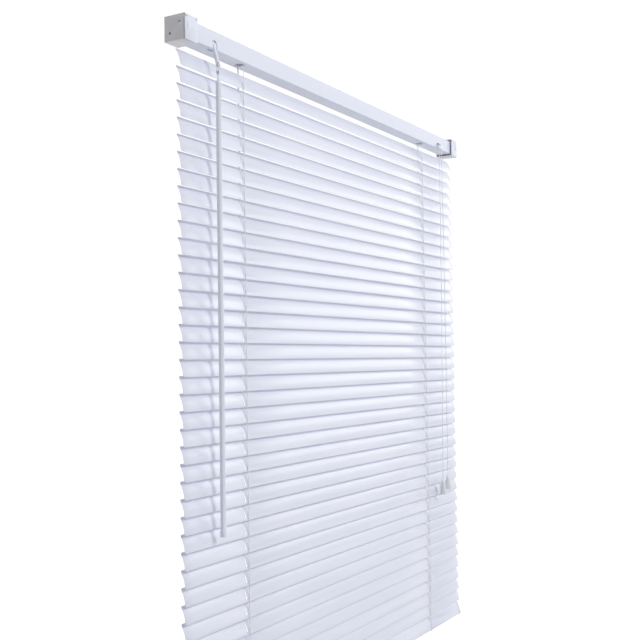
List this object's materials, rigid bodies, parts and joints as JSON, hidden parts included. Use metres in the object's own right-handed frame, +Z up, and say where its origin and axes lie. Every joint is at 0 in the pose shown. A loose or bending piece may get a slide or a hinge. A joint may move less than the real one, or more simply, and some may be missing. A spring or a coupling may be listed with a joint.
{
  "type": "venetian blind",
  "caption": "Corded mini venetian blind: crowned tilting slats on string ladders under a box headrail in hinged-gate brackets, with tilt wand, pull cords, tassels and bottom rail.",
  "frame": {"origin": "midpoint between the two top screw holes, on the top face of the box brackets", "axes": "+X along the headrail to the cord lock end, +Y towards the window, +Z up; slats closed at rest with their room side edges down"},
  "size_m": [0.9064, 0.042, 0.9719],
  "materials": {
    "white_steel": "gloss enamel",
    "white_vinyl": "satin",
    "white_nylon": "satin",
    "wand_plastic": "gloss",
    "grey_steel": "plated",
    "white_cord": "braided",
    "white_string": "twisted"
  },
  "bodies": {
    "frame": {"headrail": "white_steel", "box_brackets": "white_steel", "drum_cradles": "white_nylon", "tilter_housing": "white_nylon", "cord_lock": "white_nylon"},
    "gate_left": {"gate_left": "white_steel"},
    "gate_right": {"gate_right": "white_steel"},
    "tilt_rod": {"tilt_rod": "grey_steel", "ladder_drums": "white_nylon", "tilt_gear": "white_nylon"},
    "worm": {"worm_stem": "white_nylon"},
    "hook": {"wand_hook": "grey_steel"},
    "wand": {"wand": "wand_plastic"},
    "pawl": {"lock_pawl": "grey_steel"},
    "pull_cords": {"pull_cords": "white_cord", "tassels": "white_nylon"},
    "lift_cords": {"lift_cords": "white_cord"},
    "bottom_rail": {"bottom_rail": "white_vinyl"},
    "front_strings": {"front_ladder_strings": "white_string"},
    "rear_strings": {"rear_ladder_strings": "white_string"},
    "slat_01": {"slat_01": "white_vinyl"},
    "slat_02": {"slat_02": "white_vinyl"},
    "slat_03": {"slat_03": "white_vinyl"},
    "slat_04": {"slat_04": "white_vinyl"},
    "slat_05": {"slat_05": "white_vinyl"},
    "slat_06": {"slat_06": "white_vinyl"},
    "slat_07": {"slat_07": "white_vinyl"},
    "slat_08": {"slat_08": "white_vinyl"},
    "slat_09": {"slat_09": "white_vinyl"},
    "slat_10": {"slat_10": "white_vinyl"},
    "slat_11": {"slat_11": "white_vinyl"},
    "slat_12": {"slat_12": "white_vinyl"},
    "slat_13": {"slat_13": "white_vinyl"},
    "slat_14": {"slat_14": "white_vinyl"},
    "slat_15": {"slat_15": "white_vinyl"},
    "slat_16": {"slat_16": "white_vinyl"},
    "slat_17": {"slat_17": "white_vinyl"},
    "slat_18": {"slat_18": "white_vinyl"},
    "slat_19": {"slat_19": "white_vinyl"},
    "slat_20": {"slat_20": "white_vinyl"},
    "slat_21": {"slat_21": "white_vinyl"},
    "slat_22": {"slat_22": "white_vinyl"},
    "slat_23": {"slat_23": "white_vinyl"},
    "slat_24": {"slat_24": "white_vinyl"},
    "slat_25": {"slat_25": "white_vinyl"},
    "slat_26": {"slat_26": "white_vinyl"},
    "slat_27": {"slat_27": "white_vinyl"},
    "slat_28": {"slat_28": "white_vinyl"},
    "slat_29": {"slat_29": "white_vinyl"},
    "slat_30": {"slat_30": "white_vinyl"},
    "slat_31": {"slat_31": "white_vinyl"},
    "slat_32": {"slat_32": "white_vinyl"},
    "slat_33": {"slat_33": "white_vinyl"},
    "slat_34": {"slat_34": "white_vinyl"},
    "slat_35": {"slat_35": "white_vinyl"},
    "slat_36": {"slat_36": "white_vinyl"},
    "slat_37": {"slat_37": "white_vinyl"},
    "slat_38": {"slat_38": "white_vinyl"},
    "slat_39": {"slat_39": "white_vinyl"},
    "slat_40": {"slat_40": "white_vinyl"}
  },
  "joints": [
    {"name": "wand_turn", "type": "hinge", "parent": "frame", "child": "hook", "pos_m": [-0.384, -0.01854, -0.05206], "axis": [0, 0, -1], "range_deg": [0, 1728]},
    {"name": "worm_turn", "type": "hinge", "parent": "frame", "child": "worm", "pos_m": [-0.384, -0.00779, -0.01457], "axis": [0, -0.2756, -0.9613], "range_deg": [0, 1728]},
    {"name": "wand_swing", "type": "hinge", "parent": "hook", "child": "wand", "pos_m": [-0.384, -0.01854, -0.06206], "axis": [-1, 0, 0], "range_deg": [0, 60]},
    {"name": "rod_turn", "type": "hinge", "parent": "frame", "child": "tilt_rod", "pos_m": [0, 0, -0.0168], "axis": [-1, 0, 0], "range_deg": [0, 144]},
    {"name": "slat_01_tilt", "type": "hinge", "parent": "frame", "child": "slat_01", "pos_m": [0, 0, -0.0531], "axis": [-1, 0, 0], "range_deg": [0, 144]},
    {"name": "slat_02_tilt", "type": "hinge", "parent": "frame", "child": "slat_02", "pos_m": [0, 0, -0.0756], "axis": [-1, 0, 0], "range_deg": [0, 144]},
    {"name": "slat_03_tilt", "type": "hinge", "parent": "frame", "child": "slat_03", "pos_m": [0, 0, -0.0981], "axis": [-1, 0, 0], "range_deg": [0, 144]},
    {"name": "slat_04_tilt", "type": "hinge", "parent": "frame", "child": "slat_04", "pos_m": [0, 0, -0.1206], "axis": [-1, 0, 0], "range_deg": [0, 144]},
    {"name": "slat_05_tilt", "type": "hinge", "parent": "frame", "child": "slat_05", "pos_m": [0, 0, -0.1431], "axis": [-1, 0, 0], "range_deg": [0, 144]},
    {"name": "slat_06_tilt", "type": "hinge", "parent": "frame", "child": "slat_06", "pos_m": [0, 0, -0.1656], "axis": [-1, 0, 0], "range_deg": [0, 144]},
    {"name": "slat_07_tilt", "type": "hinge", "parent": "frame", "child": "slat_07", "pos_m": [0, 0, -0.1881], "axis": [-1, 0, 0], "range_deg": [0, 144]},
    {"name": "slat_08_tilt", "type": "hinge", "parent": "frame", "child": "slat_08", "pos_m": [0, 0, -0.2106], "axis": [-1, 0, 0], "range_deg": [0, 144]},
    {"name": "slat_09_tilt", "type": "hinge", "parent": "frame", "child": "slat_09", "pos_m": [0, 0, -0.2331], "axis": [-1, 0, 0], "range_deg": [0, 144]},
    {"name": "slat_10_tilt", "type": "hinge", "parent": "frame", "child": "slat_10", "pos_m": [0, 0, -0.2556], "axis": [-1, 0, 0], "range_deg": [0, 144]},
    {"name": "slat_11_tilt", "type": "hinge", "parent": "frame", "child": "slat_11", "pos_m": [0, 0, -0.2781], "axis": [-1, 0, 0], "range_deg": [0, 144]},
    {"name": "slat_12_tilt", "type": "hinge", "parent": "frame", "child": "slat_12", "pos_m": [0, 0, -0.3006], "axis": [-1, 0, 0], "range_deg": [0, 144]},
    {"name": "slat_13_tilt", "type": "hinge", "parent": "frame", "child": "slat_13", "pos_m": [0, 0, -0.3231], "axis": [-1, 0, 0], "range_deg": [0, 144]},
    {"name": "slat_14_tilt", "type": "hinge", "parent": "frame", "child": "slat_14", "pos_m": [0, 0, -0.3456], "axis": [-1, 0, 0], "range_deg": [0, 144]},
    {"name": "slat_15_tilt", "type": "hinge", "parent": "frame", "child": "slat_15", "pos_m": [0, 0, -0.3681], "axis": [-1, 0, 0], "range_deg": [0, 144]},
    {"name": "slat_16_tilt", "type": "hinge", "parent": "frame", "child": "slat_16", "pos_m": [0, 0, -0.3906], "axis": [-1, 0, 0], "range_deg": [0, 144]},
    {"name": "slat_17_tilt", "type": "hinge", "parent": "frame", "child": "slat_17", "pos_m": [0, 0, -0.4131], "axis": [-1, 0, 0], "range_deg": [0, 144]},
    {"name": "slat_18_tilt", "type": "hinge", "parent": "frame", "child": "slat_18", "pos_m": [0, 0, -0.4356], "axis": [-1, 0, 0], "range_deg": [0, 144]},
    {"name": "slat_19_tilt", "type": "hinge", "parent": "frame", "child": "slat_19", "pos_m": [0, 0, -0.4581], "axis": [-1, 0, 0], "range_deg": [0, 144]},
    {"name": "slat_20_tilt", "type": "hinge", "parent": "frame", "child": "slat_20", "pos_m": [0, 0, -0.4806], "axis": [-1, 0, 0], "range_deg": [0, 144]},
    {"name": "slat_21_tilt", "type": "hinge", "parent": "frame", "child": "slat_21", "pos_m": [0, 0, -0.5031], "axis": [-1, 0, 0], "range_deg": [0, 144]},
    {"name": "slat_22_tilt", "type": "hinge", "parent": "frame", "child": "slat_22", "pos_m": [0, 0, -0.5256], "axis": [-1, 0, 0], "range_deg": [0, 144]},
    {"name": "slat_23_tilt", "type": "hinge", "parent": "frame", "child": "slat_23", "pos_m": [0, 0, -0.5481], "axis": [-1, 0, 0], "range_deg": [0, 144]},
    {"name": "slat_24_tilt", "type": "hinge", "parent": "frame", "child": "slat_24", "pos_m": [0, 0, -0.5706], "axis": [-1, 0, 0], "range_deg": [0, 144]},
    {"name": "slat_25_tilt", "type": "hinge", "parent": "frame", "child": "slat_25", "pos_m": [0, 0, -0.5931], "axis": [-1, 0, 0], "range_deg": [0, 144]},
    {"name": "slat_26_tilt", "type": "hinge", "parent": "frame", "child": "slat_26", "pos_m": [0, 0, -0.6156], "axis": [-1, 0, 0], "range_deg": [0, 144]},
    {"name": "slat_27_tilt", "type": "hinge", "parent": "frame", "child": "slat_27", "pos_m": [0, 0, -0.6381], "axis": [-1, 0, 0], "range_deg": [0, 144]},
    {"name": "slat_28_tilt", "type": "hinge", "parent": "frame", "child": "slat_28", "pos_m": [0, 0, -0.6606], "axis": [-1, 0, 0], "range_deg": [0, 144]},
    {"name": "slat_29_tilt", "type": "hinge", "parent": "frame", "child": "slat_29", "pos_m": [0, 0, -0.6831], "axis": [-1, 0, 0], "range_deg": [0, 144]},
    {"name": "slat_30_tilt", "type": "hinge", "parent": "frame", "child": "slat_30", "pos_m": [0, 0, -0.7056], "axis": [-1, 0, 0], "range_deg": [0, 144]},
    {"name": "slat_31_tilt", "type": "hinge", "parent": "frame", "child": "slat_31", "pos_m": [0, 0, -0.7281], "axis": [-1, 0, 0], "range_deg": [0, 144]},
    {"name": "slat_32_tilt", "type": "hinge", "parent": "frame", "child": "slat_32", "pos_m": [0, 0, -0.7506], "axis": [-1, 0, 0], "range_deg": [0, 144]},
    {"name": "slat_33_tilt", "type": "hinge", "parent": "frame", "child": "slat_33", "pos_m": [0, 0, -0.7731], "axis": [-1, 0, 0], "range_deg": [0, 144]},
    {"name": "slat_34_tilt", "type": "hinge", "parent": "frame", "child": "slat_34", "pos_m": [0, 0, -0.7956], "axis": [-1, 0, 0], "range_deg": [0, 144]},
    {"name": "slat_35_tilt", "type": "hinge", "parent": "frame", "child": "slat_35", "pos_m": [0, 0, -0.8181], "axis": [-1, 0, 0], "range_deg": [0, 144]},
    {"name": "slat_36_tilt", "type": "hinge", "parent": "frame", "child": "slat_36", "pos_m": [0, 0, -0.8406], "axis": [-1, 0, 0], "range_deg": [0, 144]},
    {"name": "slat_37_tilt", "type": "hinge", "parent": "frame", "child": "slat_37", "pos_m": [0, 0, -0.8631], "axis": [-1, 0, 0], "range_deg": [0, 144]},
    {"name": "slat_38_tilt", "type": "hinge", "parent": "frame", "child": "slat_38", "pos_m": [0, 0, -0.8856], "axis": [-1, 0, 0], "range_deg": [0, 144]},
    {"name": "slat_39_tilt", "type": "hinge", "parent": "frame", "child": "slat_39", "pos_m": [0, 0, -0.9081], "axis": [-1, 0, 0], "range_deg": [0, 144]},
    {"name": "slat_40_tilt", "type": "hinge", "parent": "frame", "child": "slat_40", "pos_m": [0, 0, -0.9306], "axis": [-1, 0, 0], "range_deg": [0, 144]},
    {"name": "front_strings_shift", "type": "hinge", "parent": "slat_01", "child": "front_strings", "pos_m": [0, -0.00399, -0.06537], "axis": [-1, 0, 0], "range_deg": [-144, 0]},
    {"name": "rear_strings_shift", "type": "hinge", "parent": "slat_01", "child": "rear_strings", "pos_m": [0, 0.00399, -0.04083], "axis": [-1, 0, 0], "range_deg": [-144, 0]},
    {"name": "lift", "type": "slide", "parent": "frame", "child": "lift_cords", "axis": [0, 0, 1], "range_m": [0, 0.006]},
    {"name": "bottom_rail_tilt", "type": "hinge", "parent": "lift_cords", "child": "bottom_rail", "pos_m": [0, 0, -0.9586], "axis": [-1, 0, 0], "range_deg": [0, 144]},
    {"name": "pull", "type": "slide", "parent": "frame", "child": "pull_cords", "axis": [0, 0, -1], "range_m": [0, 0.006]},
    {"name": "pawl_swing", "type": "hinge", "parent": "frame", "child": "pawl", "pos_m": [0.373, 0, -0.0158], "axis": [0, 1, 0], "range_deg": [-15, 25]},
    {"name": "gate_left_open", "type": "hinge", "parent": "frame", "child": "gate_left", "pos_m": [-0.4397, -0.0155, -0.0015], "axis": [-1, 0, 0], "range_deg": [0, 95]},
    {"name": "gate_right_open", "type": "hinge", "parent": "frame", "child": "gate_right", "pos_m": [0.4397, -0.0155, -0.0015], "axis": [-1, 0, 0], "range_deg": [0, 95]}
  ],
  "couplings": [
    {"joint": "worm_turn", "follows": "wand_turn", "ratio": 1},
    {"joint": "rod_turn", "follows": "wand_turn", "ratio": 0.083333},
    {"joint": "slat_01_tilt", "follows": "wand_turn", "ratio": 0.083333},
    {"joint": "slat_02_tilt", "follows": "wand_turn", "ratio": 0.083333},
    {"joint": "slat_03_tilt", "follows": "wand_turn", "ratio": 0.083333},
    {"joint": "slat_04_tilt", "follows": "wand_turn", "ratio": 0.083333},
    {"joint": "slat_05_tilt", "follows": "wand_turn", "ratio": 0.083333},
    {"joint": "slat_06_tilt", "follows": "wand_turn", "ratio": 0.083333},
    {"joint": "slat_07_tilt", "follows": "wand_turn", "ratio": 0.083333},
    {"joint": "slat_08_tilt", "follows": "wand_turn", "ratio": 0.083333},
    {"joint": "slat_09_tilt", "follows": "wand_turn", "ratio": 0.083333},
    {"joint": "slat_10_tilt", "follows": "wand_turn", "ratio": 0.083333},
    {"joint": "slat_11_tilt", "follows": "wand_turn", "ratio": 0.083333},
    {"joint": "slat_12_tilt", "follows": "wand_turn", "ratio": 0.083333},
    {"joint": "slat_13_tilt", "follows": "wand_turn", "ratio": 0.083333},
    {"joint": "slat_14_tilt", "follows": "wand_turn", "ratio": 0.083333},
    {"joint": "slat_15_tilt", "follows": "wand_turn", "ratio": 0.083333},
    {"joint": "slat_16_tilt", "follows": "wand_turn", "ratio": 0.083333},
    {"joint": "slat_17_tilt", "follows": "wand_turn", "ratio": 0.083333},
    {"joint": "slat_18_tilt", "follows": "wand_turn", "ratio": 0.083333},
    {"joint": "slat_19_tilt", "follows": "wand_turn", "ratio": 0.083333},
    {"joint": "slat_20_tilt", "follows": "wand_turn", "ratio": 0.083333},
    {"joint": "slat_21_tilt", "follows": "wand_turn", "ratio": 0.083333},
    {"joint": "slat_22_tilt", "follows": "wand_turn", "ratio": 0.083333},
    {"joint": "slat_23_tilt", "follows": "wand_turn", "ratio": 0.083333},
    {"joint": "slat_24_tilt", "follows": "wand_turn", "ratio": 0.083333},
    {"joint": "slat_25_tilt", "follows": "wand_turn", "ratio": 0.083333},
    {"joint": "slat_26_tilt", "follows": "wand_turn", "ratio": 0.083333},
    {"joint": "slat_27_tilt", "follows": "wand_turn", "ratio": 0.083333},
    {"joint": "slat_28_tilt", "follows": "wand_turn", "ratio": 0.083333},
    {"joint": "slat_29_tilt", "follows": "wand_turn", "ratio": 0.083333},
    {"joint": "slat_30_tilt", "follows": "wand_turn", "ratio": 0.083333},
    {"joint": "slat_31_tilt", "follows": "wand_turn", "ratio": 0.083333},
    {"joint": "slat_32_tilt", "follows": "wand_turn", "ratio": 0.083333},
    {"joint": "slat_33_tilt", "follows": "wand_turn", "ratio": 0.083333},
    {"joint": "slat_34_tilt", "follows": "wand_turn", "ratio": 0.083333},
    {"joint": "slat_35_tilt", "follows": "wand_turn", "ratio": 0.083333},
    {"joint": "slat_36_tilt", "follows": "wand_turn", "ratio": 0.083333},
    {"joint": "slat_37_tilt", "follows": "wand_turn", "ratio": 0.083333},
    {"joint": "slat_38_tilt", "follows": "wand_turn", "ratio": 0.083333},
    {"joint": "slat_39_tilt", "follows": "wand_turn", "ratio": 0.083333},
    {"joint": "slat_40_tilt", "follows": "wand_turn", "ratio": 0.083333},
    {"joint": "front_strings_shift", "follows": "wand_turn", "ratio": -0.083333},
    {"joint": "rear_strings_shift", "follows": "wand_turn", "ratio": -0.083333},
    {"joint": "bottom_rail_tilt", "follows": "wand_turn", "ratio": 0.083333},
    {"joint": "pull", "follows": "lift", "ratio": 1}
  ]
}
